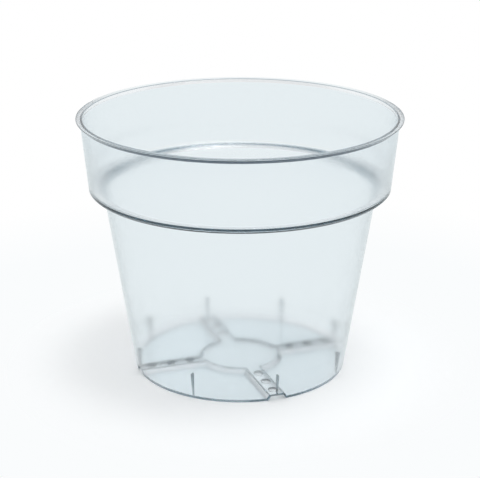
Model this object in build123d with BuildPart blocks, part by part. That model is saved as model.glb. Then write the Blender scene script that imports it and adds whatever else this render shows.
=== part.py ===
from build123d import *
import os

# A clear orchid pot, moulded in one: each zone of the moulding is a solid of its own, and neighbours meet
# face to face. Millimetres, +Z up. The pot stands on Z = 0 with its axis on Z, and its four drain channels
# run along +X, +Y, -X and -Y.

# Outside form, from the rim inwards and downwards
rim_diameter = 120.0
pot_height = 97.2
lip_height = 1.75
lip_land = 0.3
lip_overhang = 1.6
lip_edge_radius = 0.15
mouth_edge_radius = 0.3
collar_height = 25.45
collar_taper = 2.45
shoulder_ledge = 5.1
shoulder_thickness = 1.5
shoulder_edge_chamfer = 0.65
shoulder_inner_radius = 1.8
collar_root_land = 2.2
bend_inner_radius = 3.2
bend_outer_radius = 1.8
bend_root = 2.2
body_taper = 10.75
wall = 0.8

# Foot and floor
foot_edge_radius = 0.4
foot_fillet = 1.5
foot_fillet_land = 0.4
foot_ring_rise = 2.0
floor_thickness = 0.6

# Drain channels: an arm is an upside-down trough with sloping sides
arm_count = 4
channel_height = 1.8
channel_mouth_width = 7.2
channel_roof_width = 4.9
channel_side = 0.8
hub_diameter = 29.6
drain_hole_diameter = 3.6
drain_holes_per_arm = 3
hole_to_hub = 5.6
hole_to_wall = 4.1

# Stacking ribs: every arm has one, and so has every floor pad
rib_top = 10.0
rib_depth = 1.6
rib_thickness = 0.65

# Worked out from the sizes above
rim_radius = rim_diameter / 2
lip_bottom = pot_height - lip_height
shoulder_bottom = lip_bottom - collar_height
shoulder_top = shoulder_bottom + shoulder_thickness
body_top = shoulder_bottom - bend_root
collar_bottom = shoulder_top + collar_root_land
collar_top_radius = rim_radius - lip_overhang
collar_root_radius = collar_top_radius - collar_taper
body_top_radius = collar_root_radius - shoulder_ledge
foot_radius = body_top_radius - body_taper
foot_ring_top = rib_top + foot_ring_rise
arm_top = channel_height + floor_thickness
side_slope = (channel_mouth_width - channel_roof_width) / 2 / channel_height
sector = 360 / arm_count


def body_outer(height):
    """Radius of the body's outside at a height."""
    return foot_radius + body_taper * height / shoulder_bottom


def body_inner(height):
    """Radius of the body's inside at a height."""
    return body_outer(height) - wall


def collar_outer(height):
    """Radius of the collar's outside at a height."""
    return collar_root_radius + collar_taper * (height - shoulder_bottom) / collar_height


def collar_inner(height):
    """Radius of the collar's inside at a height."""
    return collar_outer(height) - wall


def channel_half_width(height):
    """Half the width of a channel's inside at a height."""
    return channel_mouth_width / 2 - side_slope * height


def arm_half_width(height):
    """Half the width of an arm's outside at a height."""
    return channel_half_width(height) + channel_side


def trough_corners(half_width, top):
    """Corners of a section that stands on the ground and narrows up to its top."""
    return [(-half_width(0), 0), (half_width(0), 0), (half_width(top), top), (-half_width(top), top)]


def hub_outer(height):
    """Radius of the hub's sloping side, outside, at a height."""
    return hub_diameter / 2 + side_slope * (arm_top - height)


def hub_inner(height):
    """Radius of the hub's sloping side, inside, at a height."""
    return hub_outer(height) - channel_side


def across(angle):
    """Upright plane square to the spoke at this angle, its normal pointing outwards."""
    spoke = Vector(1, 0, 0).rotate(Axis.Z, angle)
    return Plane(origin=(0, 0, 0), x_dir=spoke.rotate(Axis.Z, 90), z_dir=spoke)


def along(angle):
    """Upright plane that holds the pot's axis and the spoke at this angle."""
    spoke = Vector(1, 0, 0).rotate(Axis.Z, angle)
    return Plane(origin=(0, 0, 0), x_dir=spoke, z_dir=spoke.rotate(Axis.Z, -90))


def nearest_corner(sketch, point):
    """The corner of a sketch that lies nearest to a point of its plane."""
    return sketch.vertices().sort_by_distance(point)[0]


def write(builder, name):
    """Label a finished piece and write its file."""
    builder.part.label = name
    export_step(builder.part, f"parts/{name}.step")
    print(name, "volume", round(builder.part.volume, 1))


os.makedirs("parts", exist_ok=True)

# Rim lip: a flat-topped band with a narrow upright edge and an underside that slopes in to the collar
lip_outer_top = (rim_radius, pot_height)
lip_outer_bottom = (rim_radius, pot_height - lip_land)
with BuildPart() as rim_lip:
    with BuildSketch(Plane.XZ) as lip_section:
        with BuildLine():
            Polyline(
                (collar_outer(lip_bottom), lip_bottom),
                lip_outer_bottom,
                lip_outer_top,
                (collar_outer(pot_height), pot_height),
                close=True,
            )
        make_face()
        for corner in (lip_outer_bottom, lip_outer_top):
            fillet(nearest_corner(lip_section, corner), lip_edge_radius)
    revolve(axis=Axis.Z)
write(rim_lip, "rim_lip")

# Collar: a slightly flared wall from the shoulder to the rim, upright inside the lip
mouth_edge = (collar_inner(lip_bottom), pot_height)
with BuildPart() as collar_wall:
    with BuildSketch(Plane.XZ) as collar_section:
        with BuildLine():
            Polyline(
                (collar_inner(collar_bottom), collar_bottom),
                (collar_outer(collar_bottom), collar_bottom),
                (collar_outer(pot_height), pot_height),
                mouth_edge,
                (collar_inner(lip_bottom), lip_bottom),
                close=True,
            )
        make_face()
        fillet(nearest_corner(collar_section, mouth_edge), mouth_edge_radius)
    revolve(axis=Axis.Z)
write(collar_wall, "collar_wall")

# Shoulder: the level ledge from the body out to the collar, with a rounded bend at the body
ledge_outer_corner = (collar_outer(shoulder_bottom), shoulder_bottom)
ledge_inside_corner = (collar_inner(shoulder_top), shoulder_top)
bend_inside_corner = (body_inner(shoulder_top), shoulder_top)
bend_outside_corner = (body_outer(shoulder_bottom), shoulder_bottom)
with BuildPart() as shoulder_step:
    with BuildSketch(Plane.XZ) as shoulder_section:
        with BuildLine():
            Polyline(
                (body_inner(body_top), body_top),
                (body_outer(body_top), body_top),
                bend_outside_corner,
                ledge_outer_corner,
                (collar_outer(collar_bottom), collar_bottom),
                (collar_inner(collar_bottom), collar_bottom),
                ledge_inside_corner,
                bend_inside_corner,
                close=True,
            )
        make_face()
        chamfer(nearest_corner(shoulder_section, ledge_outer_corner), shoulder_edge_chamfer)
        fillet(nearest_corner(shoulder_section, ledge_inside_corner), shoulder_inner_radius)
        fillet(nearest_corner(shoulder_section, bend_inside_corner), bend_inner_radius)
        fillet(nearest_corner(shoulder_section, bend_outside_corner), bend_outer_radius)
    revolve(axis=Axis.Z)
write(shoulder_step, "shoulder_step")

# Body: the tapered wall from the foot ring up to the shoulder's bend
with BuildPart() as body_wall:
    with BuildSketch(Plane.XZ):
        with BuildLine():
            Polyline(
                (body_inner(foot_ring_top), foot_ring_top),
                (body_outer(foot_ring_top), foot_ring_top),
                (body_outer(body_top), body_top),
                (body_inner(body_top), body_top),
                close=True,
            )
        make_face()
    revolve(axis=Axis.Z)
write(body_wall, "body_wall")

# Outline of the foot, filled in to the axis, which ends the arms at the outside of the wall
foot_edge = (foot_radius, 0)
with BuildPart() as foot_outline:
    with BuildSketch(Plane.XZ) as foot_outline_section:
        with BuildLine():
            Polyline(
                (0, 0),
                foot_edge,
                (body_outer(foot_ring_top), foot_ring_top),
                (0, foot_ring_top),
                close=True,
            )
        make_face()
        fillet(nearest_corner(foot_outline_section, foot_edge), foot_edge_radius)
    revolve(axis=Axis.Z)

# Outline of the hub, filled in, which the arms and the pads end on
with BuildPart() as hub_outline:
    with BuildSketch(Plane.XZ):
        with BuildLine():
            Polyline((0, 0), (hub_outer(0), 0), (hub_outer(arm_top), arm_top), (0, arm_top), close=True)
        make_face()
    revolve(axis=Axis.Z)

# Outlines of the arms, filled in, and the channels under them, from the axis out past the foot
arm_angles = [sector * number for number in range(arm_count)]
pad_angles = [angle + sector / 2 for angle in arm_angles]
arm_reach = body_outer(foot_ring_top) + wall
with BuildPart() as arm_outlines:
    for angle in arm_angles:
        with BuildSketch(across(angle)):
            with BuildLine():
                Polyline(*trough_corners(arm_half_width, arm_top), close=True)
            make_face()
        extrude(amount=arm_reach)

with BuildPart() as channels:
    for angle in arm_angles:
        with BuildSketch(across(angle)):
            with BuildLine():
                Polyline(*trough_corners(channel_half_width, channel_height), close=True)
            make_face()
        extrude(amount=arm_reach)

# Foot ring: the bottom corner of the wall with its inside fillet, cut through where the arms cross it
floor_edge_radius = body_inner(floor_thickness) - foot_fillet - foot_fillet_land
floor_corner = (body_inner(floor_thickness), floor_thickness)
with BuildPart() as foot_ring:
    with BuildSketch(Plane.XZ) as foot_section:
        with BuildLine():
            Polyline(
                (floor_edge_radius, 0),
                foot_edge,
                (body_outer(foot_ring_top), foot_ring_top),
                (body_inner(foot_ring_top), foot_ring_top),
                floor_corner,
                (floor_edge_radius, floor_thickness),
                close=True,
            )
        make_face()
        fillet(nearest_corner(foot_section, foot_edge), foot_edge_radius)
        fillet(nearest_corner(foot_section, floor_corner), foot_fillet)
    revolve(axis=Axis.Z)
    add(arm_outlines.part, mode=Mode.SUBTRACT)
write(foot_ring, "foot_ring")

# Drain hub: a raised round roof with sloping sides, open below and into the four channels
with BuildPart() as drain_hub:
    with BuildSketch(Plane.XZ):
        with BuildLine():
            Polyline(
                (0, channel_height),
                (hub_inner(channel_height), channel_height),
                (hub_inner(0), 0),
                (hub_outer(0), 0),
                (hub_outer(arm_top), arm_top),
                (0, arm_top),
                close=True,
            )
        make_face()
    revolve(axis=Axis.Z)
    add(channels.part, mode=Mode.SUBTRACT)
write(drain_hub, "drain_hub")

# Drain arms: upside-down troughs from the hub to an open mouth in the foot, with drain holes in the roof
first_hole = hub_diameter / 2 + hole_to_hub
last_hole = body_inner(arm_top) - hole_to_wall
hole_pitch = (last_hole - first_hole) / (drain_holes_per_arm - 1)
hole_radii = [first_hole + hole_pitch * number for number in range(drain_holes_per_arm)]
for number, angle in enumerate(arm_angles, start=1):
    with BuildPart() as drain_arm:
        with BuildSketch(across(angle)):
            with BuildLine():
                Polyline(*trough_corners(arm_half_width, arm_top), close=True)
            make_face()
        extrude(amount=arm_reach)
        add(foot_outline.part, mode=Mode.INTERSECT)
        add(hub_outline.part, mode=Mode.SUBTRACT)
        add(channels.part, mode=Mode.SUBTRACT)
        for radius in hole_radii:
            with PolarLocations(radius, 1, start_angle=angle):
                Hole(drain_hole_diameter / 2)
    write(drain_arm, f"drain_arm_{number}")

# Floor pads: the flat quarters between the arms, which the pot stands on
for number, angle in enumerate(pad_angles, start=1):
    with BuildPart() as floor_pad:
        with BuildSketch():
            with BuildLine():
                edge = CenterArc((0, 0), floor_edge_radius, angle - sector / 2, sector)
                Line((0, 0), edge @ 0)
                Line(edge @ 1, (0, 0))
            make_face()
        extrude(amount=floor_thickness)
        add(arm_outlines.part, mode=Mode.SUBTRACT)
        add(hub_outline.part, mode=Mode.SUBTRACT)
    write(floor_pad, f"floor_pad_{number}")

# Stacking ribs: thin upright wedges between the floor and the tapered wall, with level tops. Each is drawn
# out to the middle of the wall and trimmed by the foot ring, so that it ends on the wall's inside.
rib_inner_radius = body_inner(rib_top) - rib_depth
rib_root = wall / 2
rib_seats = [(angle, arm_top) for angle in arm_angles] + [(angle, floor_thickness) for angle in pad_angles]
for number, (angle, seat) in enumerate(sorted(rib_seats), start=1):
    with BuildPart() as stacking_rib:
        with BuildSketch(along(angle)):
            with BuildLine():
                Polyline(
                    (rib_inner_radius, seat),
                    (body_inner(seat) + rib_root, seat),
                    (body_inner(rib_top) + rib_root, rib_top),
                    (rib_inner_radius, rib_top),
                    close=True,
                )
            make_face()
        extrude(amount=rib_thickness / 2, both=True)
        add(foot_ring.part, mode=Mode.SUBTRACT)
    write(stacking_rib, f"stacking_rib_{number}")
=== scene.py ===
# %% [markdown]
# # A clear orchid pot with drain slots
# The real pot is one injection moulding in clarified polypropylene: a tapered body, a ledge, a wider collar
# and a lip, with a raised hub and four hollow arms in its floor that let water run out at the foot. It could
# be dressed zone by zone, but clear plastic shows every inner seam, and a moulding has none. So this lesson
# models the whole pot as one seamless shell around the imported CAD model, which gives the sizes.

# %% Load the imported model
import math

import bmesh
import bpy
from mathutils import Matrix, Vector


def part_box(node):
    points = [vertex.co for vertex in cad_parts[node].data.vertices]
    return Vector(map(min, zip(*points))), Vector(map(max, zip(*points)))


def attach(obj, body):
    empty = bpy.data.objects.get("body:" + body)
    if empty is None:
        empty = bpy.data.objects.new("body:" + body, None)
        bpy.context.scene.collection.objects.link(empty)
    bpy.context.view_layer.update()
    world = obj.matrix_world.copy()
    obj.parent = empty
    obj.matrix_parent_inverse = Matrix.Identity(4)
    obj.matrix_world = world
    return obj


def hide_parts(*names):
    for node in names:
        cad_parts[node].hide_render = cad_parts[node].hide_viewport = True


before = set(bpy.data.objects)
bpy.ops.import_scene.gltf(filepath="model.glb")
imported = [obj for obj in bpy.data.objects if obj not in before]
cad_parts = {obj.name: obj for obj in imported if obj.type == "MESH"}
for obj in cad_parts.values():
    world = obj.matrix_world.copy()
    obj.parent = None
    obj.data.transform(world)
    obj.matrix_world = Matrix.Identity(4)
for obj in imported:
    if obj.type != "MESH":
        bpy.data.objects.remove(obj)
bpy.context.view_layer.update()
scene = bpy.context.scene
scene.view_settings.view_transform = "Standard"


def rounded(place):
    """A place as plain numbers, to a tenth of a millimetre."""
    return tuple(round(value, 4) for value in place)


# %% [markdown]
# ## The camera
# The pot is seen from a little above, with a long lens, so the rim's ellipse is flat and the wall's taper is
# hardly exaggerated. The camera could be placed by eye, but the rim, the ledge and the foot are circles of
# known size, and their ellipses give the lens, the height and the distance. The floor's arms give the turn
# round the pot's axis. One small function works out places round the pot, and the lamp uses it later too.

# %% Camera
CAMERA_TURN = -19.7
CAMERA_RISE = 19.36
CAMERA_DISTANCE = 0.5584
CAMERA_AIM = Vector((0, 0, 0.04857))
LENS = 111.0
SENSOR = 36.0
FRAME_SHIFT = 0.00104


def around(turn, rise, distance):
    """A place round the pot's middle: degrees of turn and of rise, and metres of distance."""
    turn = math.radians(turn)
    rise = math.radians(rise)
    level = Vector((math.sin(turn), -math.cos(turn), 0)) * math.cos(rise)
    return CAMERA_AIM + distance * (level + Vector((0, 0, math.sin(rise))))


def facing(place):
    """The rotation that points a camera or a lamp from a place to the pot's middle."""
    return (CAMERA_AIM - place).to_track_quat("-Z", "Y").to_euler()


bpy.ops.object.select_all(action="DESELECT")
camera_place = around(CAMERA_TURN, CAMERA_RISE, CAMERA_DISTANCE)
bpy.ops.object.camera_add(location=camera_place, rotation=facing(camera_place))
camera = bpy.context.object
camera.data.lens = LENS
camera.data.sensor_width = SENSOR
camera.data.shift_y = FRAME_SHIFT
scene.camera = camera
print("camera at", rounded(camera_place))

# %% [markdown]
# ## Sizes from the CAD zones
# The heights and radii of the wall could be typed in again, but they are read from the boxes of the CAD
# zones, so that the shell lies exactly on them. Only what a box doesn't show, such as the wall's thickness,
# is written here once more, in millimetres.

# %% Sizes
MM = 0.001
WALL = 0.8 * MM
BEND_ROOT = 2.2 * MM
LEDGE = 1.5 * MM
lip_low, lip_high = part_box("rim_lip")
collar_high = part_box("collar_wall")[1]
ledge_low, ledge_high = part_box("shoulder_step")
body_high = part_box("body_wall")[1]
foot_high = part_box("foot_ring")[1]
floor_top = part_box("floor_pad_1")[1].z
ledge_bottom = ledge_low.z + BEND_ROOT
ledge_top = ledge_bottom + LEDGE


def sloping(low_radius, low, high_radius, high):
    """The radius of a straight sloping wall at any height, from its radius at two heights."""
    slope = (high_radius - low_radius) / (high - low)
    return lambda height: low_radius + slope * (height - low)


body_outside = sloping(foot_high.x, foot_high.z, body_high.x, body_high.z)
collar_outside = sloping(ledge_high.x, ledge_high.z, collar_high.x, collar_high.z)
mouth_radius = collar_outside(lip_low.z) - WALL
print("foot radius", round(body_outside(0) / MM, 2), "mm, mouth radius", round(mouth_radius / MM, 2), "mm")

# %% [markdown]
# ## The section of the wall
# The cup of the pot is a solid of revolution. It could be built from stacked cones, but half of its section
# is enough: it is drawn from the middle of the underside, out to the foot, up the outside, over the lip and
# down the inside to the middle of the floor. A plane merged to a single vertex is the start, and each extrude
# adds one corner. The list gives each corner's radius, height and rounding.

# %% Draw the section
LEDGE_CHAMFER = 0.65 * MM
LIP_LAND = 0.3 * MM
FOOT_ROUNDING = 0.4 * MM
BEND_ROUNDING = 1.8 * MM
EDGE_ROUNDING = 0.15 * MM
LIP_ROOT_ROUNDING = 0.2 * MM
MOUTH_ROUNDING = 0.3 * MM
COLLAR_ROOT_ROUNDING = 1.0 * MM
RING_ROUNDING = 3.2 * MM
FLOOR_ROUNDING = 0.6 * MM
section = [
    (0, 0, 0),
    (body_outside(0), 0, FOOT_ROUNDING),
    (body_outside(foot_high.z), foot_high.z, 0),
    (body_outside(ledge_bottom), ledge_bottom, BEND_ROUNDING),
    (collar_outside(ledge_bottom) - LEDGE_CHAMFER, ledge_bottom, EDGE_ROUNDING),
    (collar_outside(ledge_bottom + LEDGE_CHAMFER), ledge_bottom + LEDGE_CHAMFER, EDGE_ROUNDING),
    (collar_outside(lip_low.z), lip_low.z, LIP_ROOT_ROUNDING),
    (lip_high.x, lip_high.z - LIP_LAND, EDGE_ROUNDING),
    (lip_high.x, lip_high.z, EDGE_ROUNDING),
    (mouth_radius, lip_high.z, MOUTH_ROUNDING),
    (mouth_radius, lip_low.z, 0),
    (collar_outside(ledge_top) - WALL, ledge_top, COLLAR_ROOT_ROUNDING),
    (body_outside(ledge_top) - WALL, ledge_top, RING_ROUNDING),
    (body_outside(foot_high.z) - WALL, foot_high.z, 0),
    (body_outside(floor_top) - WALL, floor_top, FLOOR_ROUNDING),
    (0, floor_top, 0),
]
bpy.ops.object.select_all(action="DESELECT")
bpy.ops.mesh.primitive_plane_add(size=MM)
pot = bpy.context.object
pot.name = "clear_pot"
bpy.ops.object.mode_set(mode="EDIT")
bpy.ops.mesh.merge(type="CENTER")
for (radius, height, _), (next_radius, next_height, _) in zip(section, section[1:]):
    step = (next_radius - radius, 0, next_height - height)
    bpy.ops.mesh.extrude_region_move(TRANSFORM_OT_translate={"value": step})
print("section corners:", len(bmesh.from_edit_mesh(pot.data).verts))

# %% [markdown]
# ## Round the section
# A mould is cut with round tools, and clear plastic draws each of those roundings as a line of light or of
# shade. The finished wall could be bevelled, but a vertex bevel on the flat section is simpler and gives each
# corner its own radius. A bevel slides along both edges, so the slide is worked out from the rounding's
# radius and the corner's angle.

# %% Round the corners
ROUND_PIECES = 6
TOUCH = 0.01 * MM


def select_places(piece, test):
    """In edit mode, select the vertices whose place passes a test, and what lies between them."""
    bpy.ops.mesh.select_all(action="DESELECT")
    mesh = bmesh.from_edit_mesh(piece.data)
    for vertex in mesh.verts:
        vertex.select_set(test(vertex.co))
    mesh.select_flush(True)
    bmesh.update_edit_mesh(piece.data)
    return mesh


def round_corner(piece, radius, height, rounding):
    """Round one corner of the open section."""
    corner = Vector((radius, 0, height))
    mesh = select_places(piece, lambda place: (place - corner).length < TOUCH)
    vertex = next(vertex for vertex in mesh.verts if vertex.select)
    sides = [edge.other_vert(vertex).co - vertex.co for edge in vertex.link_edges]
    slide = rounding / math.tan(sides[0].angle(sides[1]) / 2)
    bpy.ops.mesh.bevel(offset=slide, segments=ROUND_PIECES, affect="VERTICES", clamp_overlap=False)


for radius, height, rounding in section:
    if rounding:
        round_corner(pot, radius, height, rounding)
print("section points after rounding:", len(bmesh.from_edit_mesh(pot.data).verts))

# %% [markdown]
# ## Spin the wall
# Spin turns the section round the pot's axis. A screw modifier would do the same, but spin leaves a plain
# mesh at once. It also leaves a doubled seam where the turn closes, and a heap of vertices on the axis, so
# the doubles are merged, and then the normals are made to point outwards. With 240 steps the flats on the
# 120 mm rim are only 5 thousandths of a millimetre proud, which no reflection shows.

# %% Spin
SPIN_STEPS = 240
MERGE = 0.001 * MM
bpy.ops.mesh.select_all(action="SELECT")
bpy.ops.mesh.spin(steps=SPIN_STEPS, angle=math.tau, center=(0, 0, 0), axis=(0, 0, 1))
bpy.ops.mesh.select_all(action="SELECT")
bpy.ops.mesh.remove_doubles(threshold=MERGE)
bpy.ops.mesh.normals_make_consistent(inside=False)
bpy.ops.object.mode_set(mode="OBJECT")
print("cup faces:", len(pot.data.polygons))

# %% [markdown]
# ## Blocks to join and to cut
# What stands on the floor of the moulding starts here as a plain block, which is shaped, copied round the
# axis, and joined to the cup or cut out of it with a boolean. The forms could be extruded from the floor
# instead, but the spun floor is a fan of thin wedges, and a boolean finds the meeting lines by itself. A
# block's scale would sit in its object, so scale and place are applied to the mesh at once.

# %% Block helpers


def is_at(value, level):
    """True where a coordinate lies on a level."""
    return abs(value - level) < TOUCH


def block(name, low, high):
    """A plain block between two corners, left in edit mode with its size and place in its mesh."""
    bpy.ops.object.select_all(action="DESELECT")
    bpy.ops.mesh.primitive_cube_add(size=1, location=(low + high) / 2, scale=high - low)
    bpy.ops.object.transform_apply(location=True, rotation=True, scale=True)
    piece = bpy.context.object
    piece.name = name
    bpy.ops.object.mode_set(mode="EDIT")
    return piece


def repeat_round(count):
    """Copy everything in the mesh round the pot's axis, and leave edit mode."""
    bpy.ops.mesh.select_all(action="SELECT")
    for _ in range(count - 1):
        bpy.ops.mesh.duplicate()
        bpy.ops.transform.rotate(value=math.tau / count, orient_axis="Z", center_override=(0, 0, 0))
    bpy.ops.object.mode_set(mode="OBJECT")


def combine(operation, tool):
    """Join a block to the pot, or cut it out of the pot, and remove the block."""
    bpy.ops.object.select_all(action="DESELECT")
    bpy.context.view_layer.objects.active = pot
    pot.select_set(True)
    bpy.ops.object.modifier_add(type="BOOLEAN")
    modifier = pot.modifiers[-1]
    modifier.operation = operation
    modifier.solver = "EXACT"
    modifier.object = tool
    bpy.ops.object.modifier_apply(modifier=modifier.name)
    print(operation.lower(), tool.name, "-> faces", len(pot.data.polygons))
    bpy.data.objects.remove(tool)


print("blocks are placed to", TOUCH / MM, "mm")

# %% [markdown]
# ## Stacking ribs
# Eight thin ribs stand on the floor against the wall. Their level tops carry the next pot of a stack, so that
# nested pots don't jam. Each could be drawn in its own place, but they are alike, so one upright block is
# made, its outer side leans into the middle of the wall so that no gap is left, and seven copies follow. The
# ribs are joined before the arms and the hub, because only then do the booleans close the mesh on every run.

# %% Ribs
RIB_COUNT = 8
RIB_ROUNDING = 0.15 * MM
RIB_ROUND_PIECES = 2
SUNK = 0.3 * MM
rib_low, rib_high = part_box("stacking_rib_1")
ribs = block(
    "ribs",
    Vector((rib_low.x, rib_low.y, SUNK)),
    Vector((body_outside(SUNK) - WALL / 2, rib_high.y, rib_high.z)))
lean = body_outside(rib_high.z) - body_outside(SUNK)
select_places(ribs, lambda place: is_at(place.z, rib_high.z) and place.x > rib_low.x + RIB_ROUNDING)
bpy.ops.transform.translate(value=(lean, 0, 0))
select_places(ribs, lambda place: is_at(place.x, rib_low.x))
bpy.ops.mesh.bevel(offset=RIB_ROUNDING, segments=RIB_ROUND_PIECES, affect="EDGES")
repeat_round(RIB_COUNT)
combine("UNION", ribs)

# %% [markdown]
# ## The arms in the floor
# The four arms are upside-down troughs: the floor is lifted over a hollow, with sloping sides so that the
# moulding leaves its mould. They could be swept along a line, but a straight bar that is narrower at its top,
# with the top edge rounded, is all that the shape needs. The hollow inside is cut later, so the arm is the
# hollow's width plus one side wall on each hand.

# %% Arms
ARM_COUNT = 4
ARM_START = 8 * MM
ARM_END_GAP = 0.2 * MM
CHANNEL_MOUTH = 7.2 * MM
CHANNEL_ROOF = 4.9 * MM
CHANNEL_SIDE = 0.8 * MM
TOP_ROUNDING = 0.35 * MM
TOP_ROUND_PIECES = 3
arm_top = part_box("drain_arm_1")[1].z
channel_top = arm_top - floor_top
side_slope = (CHANNEL_MOUTH - CHANNEL_ROOF) / 2 / channel_top


def half_channel(height):
    """Half of the hollow's width at a height."""
    return CHANNEL_MOUTH / 2 - side_slope * height


def half_arm(height):
    """Half of an arm's width at a height."""
    return half_channel(height) + CHANNEL_SIDE


def trough(name, start, end, bottom, top, half_width):
    """A bar along +X that stands with its wide side down, its width given at each height."""
    low = Vector((start, -half_width(bottom), bottom))
    high = Vector((end, half_width(bottom), top))
    piece = block(name, low, high)
    select_places(piece, lambda place: is_at(place.z, top))
    narrower = half_width(top) / half_width(bottom)
    bpy.ops.transform.resize(value=(1, narrower, 1), center_override=((start + end) / 2, 0, top))
    return piece


def round_top(piece, top):
    """Round the edges of a block's top face."""
    select_places(piece, lambda place: is_at(place.z, top))
    bpy.ops.mesh.bevel(offset=TOP_ROUNDING, segments=TOP_ROUND_PIECES, affect="EDGES")


arms = trough("arms", ARM_START, body_outside(0) - ARM_END_GAP, SUNK, arm_top, half_arm)
round_top(arms, arm_top)
repeat_round(ARM_COUNT)
combine("UNION", arms)

# %% [markdown]
# ## The hub
# The arms meet in a round hub of the same height, whose side slopes like theirs. It could be spun with the
# wall, but the arms have to run into it cleanly, so it is a low cone with a rounded top that is joined after
# them.

# %% Hub
HUB_TOP_RADIUS = 14.8 * MM


def hub_side(height):
    """Radius of the hub's sloping side at a height."""
    return HUB_TOP_RADIUS + side_slope * (arm_top - height)


def cone(name, bottom_radius, top_radius, bottom, top):
    """A round block with a sloping side on the pot's axis, left in edit mode."""
    bpy.ops.object.select_all(action="DESELECT")
    bpy.ops.mesh.primitive_cone_add(
        vertices=SPIN_STEPS, radius1=bottom_radius, radius2=top_radius, depth=top - bottom,
        location=(0, 0, (bottom + top) / 2))
    bpy.ops.object.transform_apply(location=True, rotation=True, scale=True)
    piece = bpy.context.object
    piece.name = name
    bpy.ops.object.mode_set(mode="EDIT")
    return piece


hub = cone("hub", hub_side(SUNK), HUB_TOP_RADIUS, SUNK, arm_top)
round_top(hub, arm_top)
bpy.ops.object.mode_set(mode="OBJECT")
combine("UNION", hub)

# %% [markdown]
# ## The hollows below
# From below, the hub and the arms are open, so that water can run out. A solidify modifier could give the
# floor its thickness, but it would thin the slopes, so a hollow one wall smaller than each block is cut out.
# The arms' hollows run on through the foot, which gives the four low slots in the wall. Each cutter reaches
# past the surface that it opens, because a boolean with two faces in one plane can leave slivers.

# %% Hollows
PAST = 1 * MM
PAST_FOOT = 5 * MM
channels = trough("channels", ARM_START, body_outside(0) + PAST_FOOT, -PAST, channel_top, half_channel)
repeat_round(ARM_COUNT)
combine("DIFFERENCE", channels)
hollow = cone(
    "hollow", hub_side(-PAST) - CHANNEL_SIDE, hub_side(channel_top) - CHANNEL_SIDE, -PAST, channel_top)
bpy.ops.object.mode_set(mode="OBJECT")
combine("DIFFERENCE", hollow)

# %% [markdown]
# ## The drain holes
# Three round holes in the roof of each arm let the water into the channel. They could be cut one by one, but
# three cylinders are joined into one cutter, which is copied to all four arms and cuts all twelve holes.

# %% Holes
HOLE_RADIUS = 1.8 * MM
HOLE_SIDES = 40
HOLE_PLACES = (20.4 * MM, 28.0 * MM, 35.6 * MM)
hole_bottom = channel_top - PAST
hole_height = arm_top + PAST - hole_bottom
holes = None
for hole_place in HOLE_PLACES:
    bpy.ops.object.select_all(action="DESELECT")
    bpy.ops.mesh.primitive_cylinder_add(
        vertices=HOLE_SIDES, radius=HOLE_RADIUS, depth=hole_height,
        location=(hole_place, 0, hole_bottom + hole_height / 2))
    if holes:
        holes.select_set(True)
        bpy.ops.object.join()
    holes = bpy.context.object
bpy.ops.object.transform_apply(location=True, rotation=True, scale=True)
holes.name = "holes"
bpy.ops.object.mode_set(mode="EDIT")
repeat_round(ARM_COUNT)
combine("DIFFERENCE", holes)

# %% [markdown]
# ## Clean the mesh and shade it
# A moulding has smooth walls with crisp edges. Booleans can leave vertices on top of each other, so they are
# merged. All edges could be shaded smooth, but then the corners would look swollen: edges sharper than 35
# degrees stay sharp, and weighted normals give the large faces their true direction, so that a flat wall
# refracts like a flat wall right up to its rounded edge. The last lines count open edges, which must be none.

# %% Clean and shade
SHARP = math.radians(35)
CUBIC_CM = 1e-6
bpy.ops.object.mode_set(mode="EDIT")
bpy.ops.mesh.select_all(action="SELECT")
bpy.ops.mesh.remove_doubles(threshold=MERGE)
bpy.ops.mesh.dissolve_degenerate(threshold=MERGE)
bpy.ops.mesh.normals_make_consistent(inside=False)
bpy.ops.object.mode_set(mode="OBJECT")
bpy.ops.object.shade_smooth_by_angle(angle=SHARP)
bpy.ops.object.modifier_add(type="WEIGHTED_NORMAL")
pot.modifiers[-1].keep_sharp = True
bpy.ops.object.modifier_apply(modifier=pot.modifiers[-1].name)
check = bmesh.new()
check.from_mesh(pot.data)
open_edges = sum(not edge.is_manifold for edge in check.edges)
volume = check.calc_volume() / CUBIC_CM
print("pot faces:", len(check.faces), "open edges:", open_edges, "volume cm3:", round(volume, 2))
check.free()

# %% [markdown]
# ## Colours and nodes
# Colours are written as sRGB hex values, as they are read from a picture, but shaders work in linear light.
# They could be converted by hand, but one function does it for all. Another adds a node with its settings
# and its links, so that each material below reads like a recipe.

# %% Colour and node helpers
CLEAR = "#FCFDFE"


def linear(hex_colour):
    """An sRGB hex colour as linear red, green, blue and a full alpha."""
    parts = [int(hex_colour[at:at + 2], 16) / 255 for at in (1, 3, 5)]
    return [c / 12.92 if c <= 0.04045 else ((c + 0.055) / 1.055) ** 2.4 for c in parts] + [1.0]


def add_node(tree, kind, inputs=None, **settings):
    """Add a node, set its settings, and fill its inputs with values or with links from other outputs."""
    node = tree.nodes.new(kind)
    for name, value in settings.items():
        setattr(node, name, value)
    for name, value in (inputs or {}).items():
        if isinstance(value, bpy.types.NodeSocket):
            tree.links.new(value, node.inputs[name])
        else:
            node.inputs[name].default_value = value
    return node


def new_tree(owner):
    """An empty node tree for a material or a world."""
    owner.use_nodes = True
    owner.node_tree.nodes.clear()
    return owner.node_tree


print("clear skin in linear light:", rounded(linear(CLEAR)))

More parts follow.
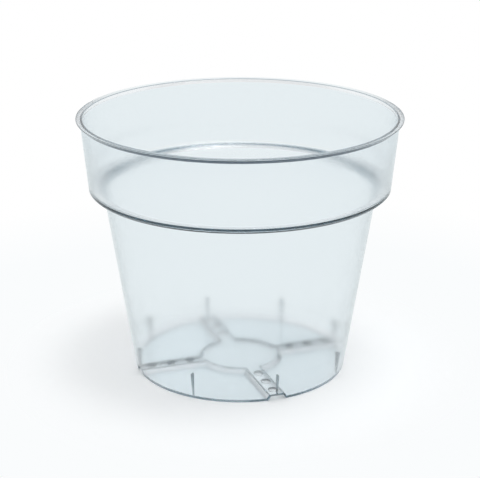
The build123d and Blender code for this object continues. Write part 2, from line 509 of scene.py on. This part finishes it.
# %% [markdown]
# ## Clarified polypropylene
# Clarified polypropylene is clear but never as clear as glass: a thin wall is faintly milky and cool, and
# what stands behind it goes soft with distance. A plain glass shader would look too hard. So this is a
# slightly rough transmission with the plastic's own index of refraction, the cool cast is an absorption
# inside the solid, and the melt's flow gives the surface a faint waviness. The real pot's edges look slate
# grey, because light that meets them is led away along the wall, which leaves them in shade. That could come
# from a room of dark panels, but then it would change with every move of the pot. Here that shade is painted
# into the base colour instead, alike all round, and Layer Weight lets the painted shade show where the
# surface is seen edge on. A Mix node's colour sockets come after those for numbers and vectors, so they are
# counted.

# %% Plastic
CAST = "#90B3C1"
CAST_DENSITY = 40.0
REFRACTION = 1.49
# The marks that the melt's flow leaves in a thin wall are a few millimetres wide.
FLOW_WIDTH = 6 * MM
FLOW_DETAIL = 2.0
FLOW_LOW = 0.3
FLOW_HIGH = 0.7
HAZE_LOW = 0.10
HAZE_HIGH = 0.13
RIPPLE_STRENGTH = 0.03
RIPPLE_HEIGHT = 0.2 * MM
GLANCE_SPAN = 0.35
MIX_FIRST = 6
MIX_SECOND = 7
MIX_RESULT = 2
# Moulded and clarified: a cool clear wall with a soft gloss, faintly wavy, and painted shade for the slate
# lines at its edges.
plastic = bpy.data.materials.new("clarified polypropylene, moulded")
tree = new_tree(plastic)
place = add_node(tree, "ShaderNodeTexCoord").outputs["Object"]
flow = add_node(
    tree, "ShaderNodeTexNoise",
    {"Vector": place, "Scale": 1 / FLOW_WIDTH, "Detail": FLOW_DETAIL}).outputs["Fac"]
haze = add_node(
    tree, "ShaderNodeMapRange",
    {"Value": flow, "From Min": FLOW_LOW, "From Max": FLOW_HIGH, "To Min": HAZE_LOW, "To Max": HAZE_HIGH})
ripple = add_node(
    tree, "ShaderNodeBump", {"Height": flow, "Strength": RIPPLE_STRENGTH, "Distance": RIPPLE_HEIGHT})
# Painted shade: the per-face shade colours and, in alpha, how edge on a face must be seen before they show.
painted = add_node(tree, "ShaderNodeVertexColor", layer_name="painted_shade").outputs
edge_on = add_node(tree, "ShaderNodeLayerWeight").outputs["Facing"]
reach = add_node(tree, "ShaderNodeMath", {0: edge_on, 1: painted["Alpha"]}, operation="ADD").outputs["Value"]
share = add_node(
    tree, "ShaderNodeMapRange", {"Value": reach, "From Min": 1.0, "From Max": 1 + GLANCE_SPAN})
# Mix the clear base colour with the painted shade, by how edge on the surface is seen.
colour = add_node(
    tree, "ShaderNodeMix",
    {"Factor": share.outputs["Result"], MIX_FIRST: linear(CLEAR), MIX_SECOND: painted["Color"]},
    data_type="RGBA")
surface = add_node(
    tree, "ShaderNodeBsdfPrincipled",
    {"Base Color": colour.outputs[MIX_RESULT], "Roughness": haze.outputs["Result"], "IOR": REFRACTION,
     "Transmission Weight": 1.0, "Normal": ripple.outputs["Normal"]})
cast = add_node(tree, "ShaderNodeVolumeAbsorption", {"Color": linear(CAST), "Density": CAST_DENSITY})
add_node(
    tree, "ShaderNodeOutputMaterial",
    {"Surface": surface.outputs["BSDF"], "Volume": cast.outputs["Volume"]})
pot.data.materials.clear()
pot.data.materials.append(plastic)
print("material:", plastic.name, "nodes:", len(tree.nodes))

# %% [markdown]
# ## Painted shade on the surface
# The painted shade could be separate materials, but a clear solid has to be entered and left through the same
# material, or its absorption runs on in the air behind it. So there is one material, and the painted shade is
# a colour attribute on the corners of the faces. Its alpha keeps how edge on the surface has to be seen
# before
# the painted shade begins: 0 is face on, 1 is fully edge on, and ALWAYS lies so low that the painted shade
# shows everywhere. The alpha can't be negative, so it is stored as 1 less that value.

# %% Painted shade layer
ALWAYS = -GLANCE_SPAN
EARLY = 0.1
LATE = 0.55
# The painted shade layer starts out clear on every corner.
painted_shade = pot.data.color_attributes.new("painted_shade", "FLOAT_COLOR", "CORNER")
for corner in painted_shade.data:
    corner.color = linear(CLEAR)


def paint(test, shade_colour, begins):
    """Paint shade on the faces whose middle and normal pass a test, from the glance at which it begins."""
    corners = pot.data.color_attributes["painted_shade"].data
    faces = [face for face in pot.data.polygons if test(face.center, face.normal)]
    for face in faces:
        for corner in face.loop_indices:
            corners[corner].color = linear(shade_colour)[:3] + [1 - begins]
    print("tinted", len(faces), "faces", shade_colour)


print("skin corners:", len(pot.data.color_attributes["painted_shade"].data))

# %% [markdown]
# ## Painted shade in the floor
# On the real pot the hub and the arms show slate lines of shade where their sides are seen edge on, thin
# lines along their top edges and a dark crescent in each hole; here all are painted shade, and the level tops
# get a faint cool painted shade, so the floor reads darker. The faces could be picked by number, but a
# boolean numbers them anew on each change, so they are picked by their place and by how their normal leans.

# %% Paint shade in the floor
LEVEL = 0.95
UPRIGHT = 0.05
SIDE_LOW = 0.4
SIDE_HIGH = 0.7
SIDE_MARGIN = 2 * MM
HOLE_MARGIN = 1 * MM


def is_level_floor(centre, normal):
    """True on the level top of the floor, of the hub and of the arms."""
    return centre.z < arm_top + TOUCH and normal.z > LEVEL


def is_raised(centre):
    """True between the floor and the arms' tops, inside the ribs."""
    return floor_top < centre.z < arm_top and centre.xy.length < rib_low.x - SIDE_MARGIN


def is_side(centre, normal):
    """True on the sloping sides of the hub and the arms."""
    return is_raised(centre) and SIDE_LOW < normal.z < SIDE_HIGH


def is_hollow_side(centre, normal):
    """True on the sloping sides of the hollows under the hub and the arms."""
    below = 0 < centre.z < channel_top and centre.xy.length < rib_low.x - SIDE_MARGIN
    return below and SIDE_LOW < -normal.z < SIDE_HIGH


def is_top_edge(centre, normal):
    """True on the rounded top edges of the hub and the arms."""
    return is_raised(centre) and SIDE_HIGH < normal.z < LEVEL


def is_hole_wall(centre, normal):
    """True on the walls of the drain holes."""
    in_roof = channel_top < centre.z < arm_top and centre.xy.length < rib_low.x - HOLE_MARGIN
    return in_roof and abs(normal.z) < UPRIGHT


# Faint cool painted shade on the level floor, hub and arm tops, so the floor reads darker.
paint(is_level_floor, "#F3FCFE", ALWAYS)
# Slate painted shade on the sloping sides, shown only where they are seen well edge on.
paint(is_side, "#1E282F", LATE)
# The same slate painted shade on the hollows' sloping sides, shown from a slight glance.
paint(is_hollow_side, "#1E282F", EARLY)
# Painted shade lines along the rounded top edges.
paint(is_top_edge, "#6A767D", ALWAYS)
# Dark painted shade crescents on the drain holes' walls.
paint(is_hole_wall, "#2A343B", ALWAYS)

# %% [markdown]
# ## Painted shade on the ribs
# A rib is a thin blade: light that enters it is turned aside, so it shows as a grey wedge of shade through
# the wall, and here that shade is painted on. One rib could be painted before it is copied, but the boolean
# makes new faces where a rib meets the wall, so the faces are found afterwards. The copies stand at even
# turns: a face belongs to a rib if it lies close to the nearest of those turns, between the rib's tip and the
# wall.

# %% Paint shade on the ribs
RIB_FOOT_MARGIN = 0.1 * MM
RIB_WALL_MARGIN = 0.02 * MM


def is_rib(centre, normal):
    """True on the sides, the tip and the top of a stacking rib."""
    step = math.tau / RIB_COUNT
    turn = math.atan2(centre.y, centre.x)
    across = abs(math.sin(turn - step * round(turn / step))) * centre.xy.length
    tip = rib_low.x - RIB_ROUNDING
    wall = body_outside(centre.z) - WALL - RIB_WALL_MARGIN
    in_height = arm_top + RIB_FOOT_MARGIN < centre.z < rib_high.z + TOUCH
    return across < rib_high.y + TOUCH and tip < centre.xy.length < wall and in_height


# Grey painted shade on the ribs' sides, tip and top, everywhere.
paint(is_rib, "#6E7A81", ALWAYS)

# %% [markdown]
# ## Painted shade on the lip and the ledge
# The lip and the ledge end in thick edges, which show the darkest lines of shade on the real pot: two at the
# lip's top edges, one under the lip, one under the ledge's outer edge, and a soft ring at the ledge's inner
# edge.
# Here each is painted shade. They could all have one shade, but each edge gathers a different share of light,
# so each has a painted shade of its own.

# %% Paint shade on the lip and the ledge
UNDERCUT = 0.3


def is_under_edge(centre, normal):
    """True on the sloping undersides of the lip and of the ledge's outer edge."""
    on_lip = centre.z > lip_low.z
    on_ledge = ledge_bottom < centre.z < ledge_top and centre.xy.length > body_outside(ledge_top) + LEDGE
    return (on_lip or on_ledge) and UNDERCUT < -normal.z < LEVEL


def is_mouth_edge(centre, normal):
    """True on the rounded inner edge of the lip's top."""
    near_mouth = abs(centre.xy.length - mouth_radius) < MOUTH_ROUNDING
    return near_mouth and centre.z > lip_high.z - MOUTH_ROUNDING and UPRIGHT < normal.z < LEVEL


def is_rim_edge(centre, normal):
    """True on the rounded outer edge of the lip's top."""
    return centre.xy.length > lip_high.x - MOUTH_ROUNDING and UPRIGHT < normal.z < LEVEL


def is_under_ledge(centre, normal):
    """True on the level underside of the ledge."""
    return is_at(centre.z, ledge_bottom) and -normal.z > LEVEL


def is_ring(centre, normal):
    """True on the rounded inner edge of the ledge."""
    near_ledge = ledge_top - RING_ROUNDING < centre.z < ledge_top and UPRIGHT < normal.z < LEVEL
    return near_ledge and centre.xy.length < body_outside(ledge_top) + LEDGE


# Near-black painted shade under the lip and under the ledge's outer edge, from a slight glance.
paint(is_under_edge, "#0F1A25", EARLY)
# Light painted shade line on the mouth's rounded inner edge.
paint(is_mouth_edge, "#98A4AC", ALWAYS)
# Dark painted shade line on the lip's rounded outer edge.
paint(is_rim_edge, "#2A3640", ALWAYS)
# Mid painted shade on the ledge's level underside, from a slight glance.
paint(is_under_ledge, "#6F7B84", EARLY)
# Light painted shade ring on the ledge's rounded inner edge, from a slight glance.
paint(is_ring, "#8A969E", EARLY)

# %% [markdown]
# ## Floor
# The pot stands on matt white paper that runs on past the picture on every side. It could be lit paper all
# the way, but then it would only be white with far more light on the pot. So close to the pot it is lit and
# shadowed like any paper, and further off it fades to white for the camera, and to a pale cool tone for rays
# that have gone through the plastic or off it. The tones change a little with distance, as on a real sweep.

# %% Floor
FLOOR_SIZE = 8.0
FLOOR_GAP = 0.05 * MM
FADE_START = 0.05
FADE_END = 0.09
THROUGH_START = 0.04
THROUGH_END = 0.05
PAPER = "#F9FBFC"
WHITE_TONES = (0.14, "#FAFCFD", 0.21, "#FFFFFF")
PALE_TONES = (0.22, "#EFF5F6", 0.30, "#EBF2F4")
bpy.ops.object.select_all(action="DESELECT")
bpy.ops.mesh.primitive_plane_add(size=FLOOR_SIZE, location=(0, 0, -FLOOR_GAP))
paper_floor = bpy.context.object
paper_floor.name = "paper_floor"
bpy.ops.object.transform_apply(location=True, rotation=True, scale=True)
# Matt paper: white and without gloss, so all that shows on it is the pot's soft shadow.
paper = bpy.data.materials.new("matt white paper")
tree = new_tree(paper)
place = add_node(tree, "ShaderNodeTexCoord").outputs["Object"]
distance = add_node(tree, "ShaderNodeVectorMath", {0: place}, operation="LENGTH").outputs["Value"]
rays = add_node(tree, "ShaderNodeLightPath").outputs


def fading(start, end, seen_by):
    """A share that grows with the distance from the pot, for one kind of ray only."""
    far_off = add_node(
        tree, "ShaderNodeMapRange", {"Value": distance, "From Min": start, "From Max": end},
        interpolation_type="SMOOTHSTEP").outputs["Result"]
    return add_node(tree, "ShaderNodeMath", {0: far_off, 1: seen_by}, operation="MULTIPLY").outputs["Value"]


def tones(near, near_colour, far, far_colour):
    """A glow that goes from one tone to another between two distances from the pot, in metres."""
    ramp = add_node(tree, "ShaderNodeValToRGB", {"Fac": distance})
    first, last = ramp.color_ramp.elements
    first.position = near
    first.color = linear(near_colour)
    last.position = far
    last.color = linear(far_colour)
    return add_node(tree, "ShaderNodeEmission", {"Color": ramp.outputs["Color"]}).outputs["Emission"]


through = add_node(
    tree, "ShaderNodeMath", {0: rays["Is Transmission Ray"], 1: rays["Is Glossy Ray"]},
    operation="MAXIMUM").outputs["Value"]
matt = add_node(tree, "ShaderNodeBsdfDiffuse", {"Color": linear(PAPER)}).outputs["BSDF"]
seen_through = add_node(
    tree, "ShaderNodeMixShader",
    {"Fac": fading(THROUGH_START, THROUGH_END, through), 1: matt, 2: tones(*PALE_TONES)}).outputs["Shader"]
sweep = add_node(
    tree, "ShaderNodeMixShader",
    {"Fac": fading(FADE_START, FADE_END, rays["Is Camera Ray"]), 1: seen_through, 2: tones(*WHITE_TONES)})
add_node(tree, "ShaderNodeOutputMaterial", {"Surface": sweep.outputs["Shader"]})
paper.cycles.emission_sampling = "NONE"
paper_floor.data.materials.append(paper)
print("floor:", FLOOR_SIZE, "m, fades from", FADE_START, "to", FADE_END, "m")

# %% [markdown]
# ## The room
# Clear things are lit by what stands around them. A room could be built from panels, but this pot is seen
# against white on all sides, so the world is plain white. For light that falls on the paper it is a little
# dimmer, which leaves room for the lamp's shadow. Each ray crosses many clear walls, so many bounces are
# allowed, and the filter that blurs glossy rays is off, because the plastic has its own haze.

# %% Room
ROOM_WHITE = "#FFFFFF"
ROOM_LIGHT = 0.84
BOUNCES = 64
CLEAR_BOUNCES = 48
scene.cycles.blur_glossy = 0.0
scene.cycles.max_bounces = BOUNCES
scene.cycles.transmission_bounces = CLEAR_BOUNCES
scene.cycles.glossy_bounces = CLEAR_BOUNCES
world = bpy.data.worlds.new("studio room")
scene.world = world
tree = new_tree(world)
rays = add_node(tree, "ShaderNodeLightPath").outputs
white = add_node(tree, "ShaderNodeBackground", {"Color": linear(ROOM_WHITE)})
lit = add_node(tree, "ShaderNodeBackground", {"Color": linear(ROOM_WHITE), "Strength": ROOM_LIGHT})
both = add_node(
    tree, "ShaderNodeMixShader",
    {"Fac": rays["Diffuse Depth"], 1: white.outputs["Background"], 2: lit.outputs["Background"]})
add_node(tree, "ShaderNodeOutputWorld", {"Surface": both.outputs["Shader"]})
print("room light on the paper:", ROOM_LIGHT)

# %% [markdown]
# ## The lamp
# One large soft lamp stands high above, to the right of the camera, and gives the light shadow on the left. A
# small lamp or a sun would draw a hard shadow, and bright spots in the plastic. Multiple importance sampling
# is off for it, so its light is only looked for in a straight line. The clear walls stand in that line, and
# so the pot casts its shadow on the paper.

# %% Lamp
LAMP_SIZE = 0.45
LAMP_POWER = 2.6
LAMP_TURN = 70
LAMP_RISE = 76
LAMP_DISTANCE = 1.0
lamp_place = around(CAMERA_TURN + LAMP_TURN, LAMP_RISE, LAMP_DISTANCE)
bpy.ops.object.light_add(type="AREA", location=lamp_place, rotation=facing(lamp_place))
lamp = bpy.context.object
lamp.name = "soft_lamp"
lamp.data.size = LAMP_SIZE
lamp.data.energy = LAMP_POWER
lamp.data.cycles.use_multiple_importance_sampling = False
print("lamp at", rounded(lamp_place))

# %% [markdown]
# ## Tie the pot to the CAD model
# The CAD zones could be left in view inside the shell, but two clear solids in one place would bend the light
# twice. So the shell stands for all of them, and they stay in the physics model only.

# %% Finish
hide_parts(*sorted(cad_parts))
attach(pot, "root")
